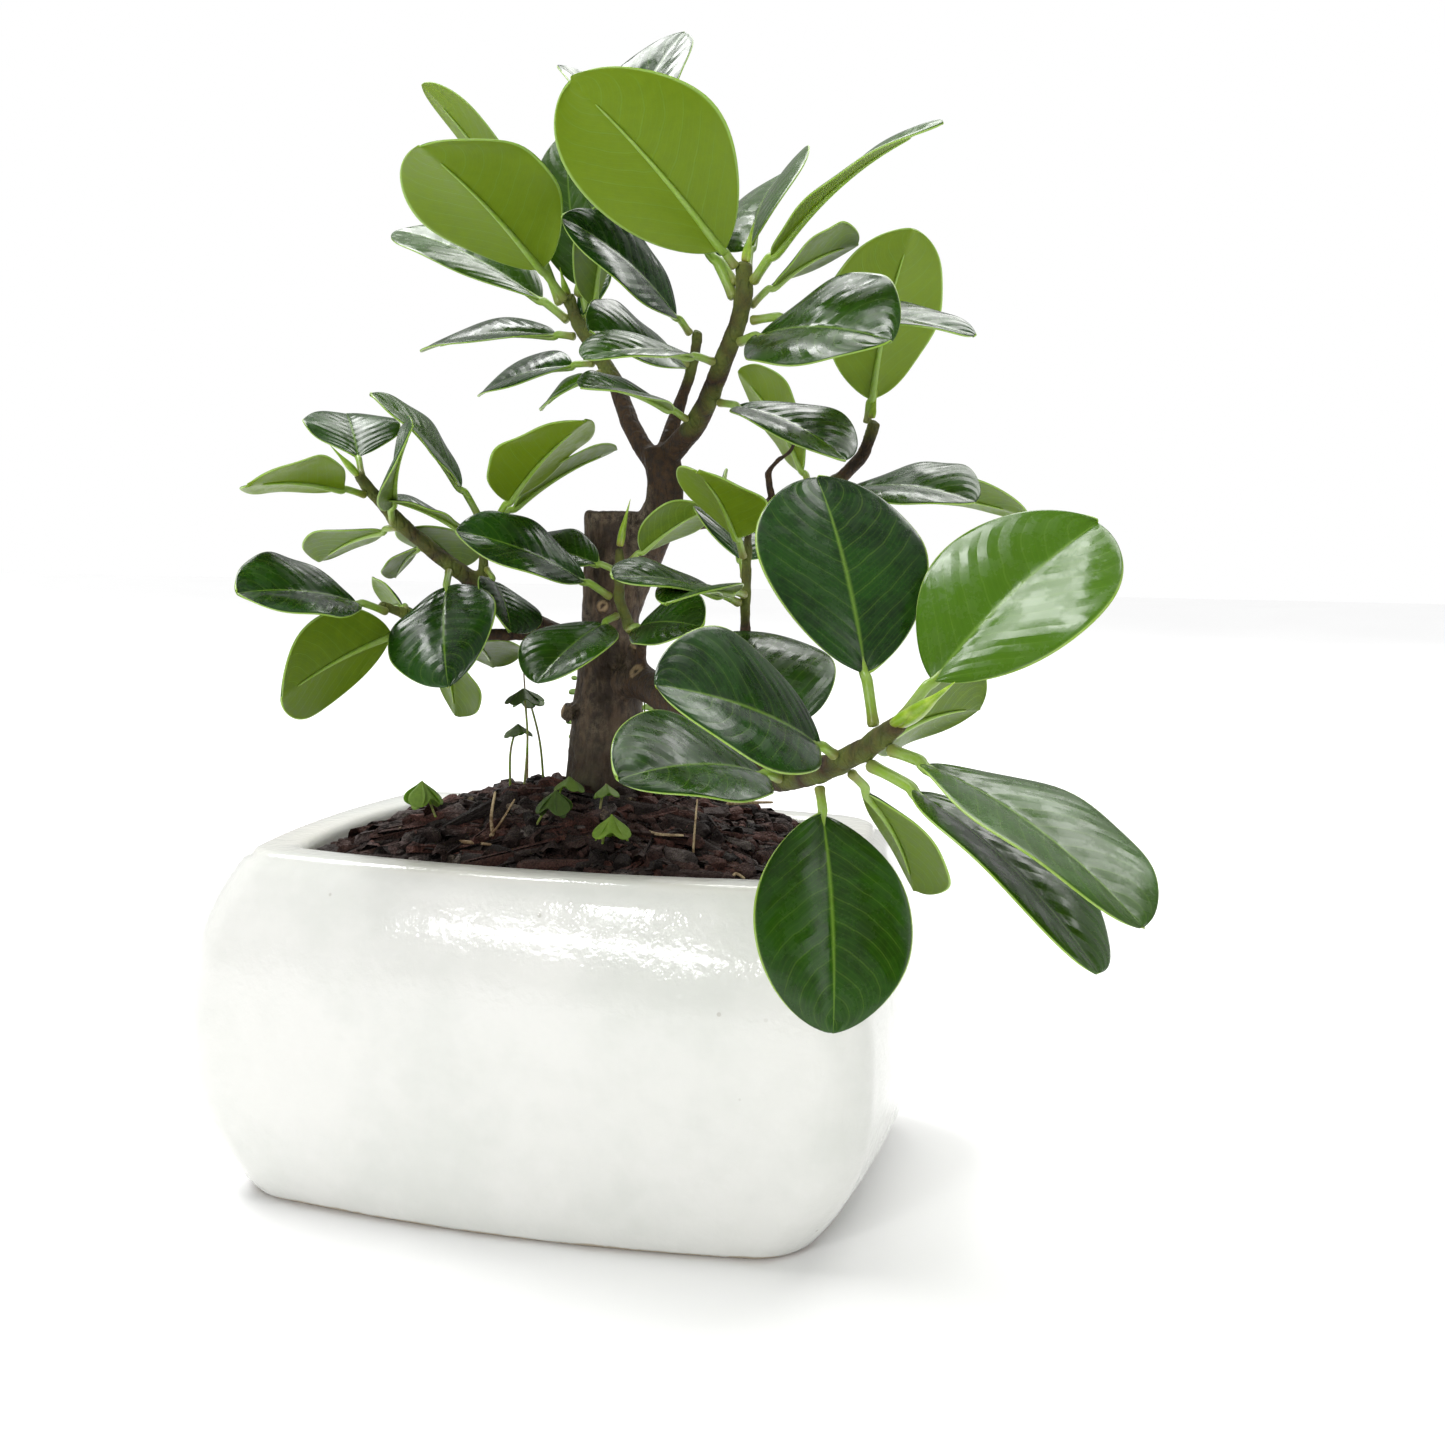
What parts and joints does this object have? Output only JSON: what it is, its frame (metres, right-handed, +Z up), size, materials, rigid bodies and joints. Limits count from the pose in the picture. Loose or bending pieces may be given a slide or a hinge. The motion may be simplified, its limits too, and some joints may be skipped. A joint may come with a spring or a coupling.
{
  "type": "bonsai tree in a pot",
  "caption": "Small fig bonsai with a sawn trunk stub, spreading twigs and thick glossy oval leaves, rooted in lava gravel in a white glazed pot with bulging sides.",
  "frame": {"origin": "centre of the pot's flat underside", "axes": "+X along the pot's long side to the right, -Y to its front, +Z up"},
  "size_m": [0.2075, 0.1833, 0.2661],
  "materials": {
    "pot_glaze": "white glaze, soft gloss, faint specks",
    "drain_mesh": "black woven plastic mesh",
    "gravel": "dry crushed lava, dark red-brown and black",
    "bark": "rough grey-brown bark, smoother on the twigs",
    "leaf": "thick waxy living leaf, glossy dark green above, paler below",
    "bud": "soft yellow-green bud sheath",
    "weed": "thin soft clover leaf"
  },
  "bodies": {
    "root": {"bud_front": "bud", "bud_low": "bud", "clover_back": "weed", "clover_front": "weed", "clover_left": "weed", "drain_mesh_left": "drain_mesh", "drain_mesh_right": "drain_mesh", "gravel_soil": "gravel", "pot": "pot_glaze", "wood": "bark", "leaf_back_1": "leaf", "leaf_back_2": "leaf", "leaf_back_3": "leaf", "leaf_crown_1": "leaf", "leaf_crown_10": "leaf", "leaf_crown_11": "leaf", "leaf_crown_2": "leaf", "leaf_crown_3": "leaf", "leaf_crown_4": "leaf", "leaf_crown_5": "leaf", "leaf_crown_6": "leaf", "leaf_crown_7": "leaf", "leaf_crown_8": "leaf", "leaf_crown_9": "leaf", "leaf_front_1": "leaf", "leaf_front_10": "leaf", "leaf_front_2": "leaf", "leaf_front_3": "leaf", "leaf_front_4": "leaf", "leaf_front_5": "leaf", "leaf_front_6": "leaf", "leaf_front_7": "leaf", "leaf_front_8": "leaf", "leaf_front_9": "leaf", "leaf_left_1": "leaf", "leaf_left_2": "leaf", "leaf_left_3": "leaf", "leaf_left_4": "leaf", "leaf_left_5": "leaf", "leaf_left_6": "leaf", "leaf_left_7": "leaf", "leaf_left_8": "leaf", "leaf_lowFork_1": "leaf", "leaf_lowFork_2": "leaf", "leaf_lowShoot_1": "leaf", "leaf_lowShoot_2": "leaf", "leaf_lowShoot_3": "leaf", "leaf_lowShoot_4": "leaf", "leaf_low_1": "leaf", "leaf_low_2": "leaf", "leaf_low_3": "leaf", "leaf_low_4": "leaf", "leaf_middle_1": "leaf", "leaf_middle_2": "leaf", "leaf_nearShoot_1": "leaf", "leaf_nearShoot_2": "leaf", "leaf_nearShoot_3": "leaf", "leaf_sideShoot_1": "leaf", "leaf_sideShoot_2": "leaf", "leaf_sideShoot_3": "leaf"}
  },
  "joints": []
}
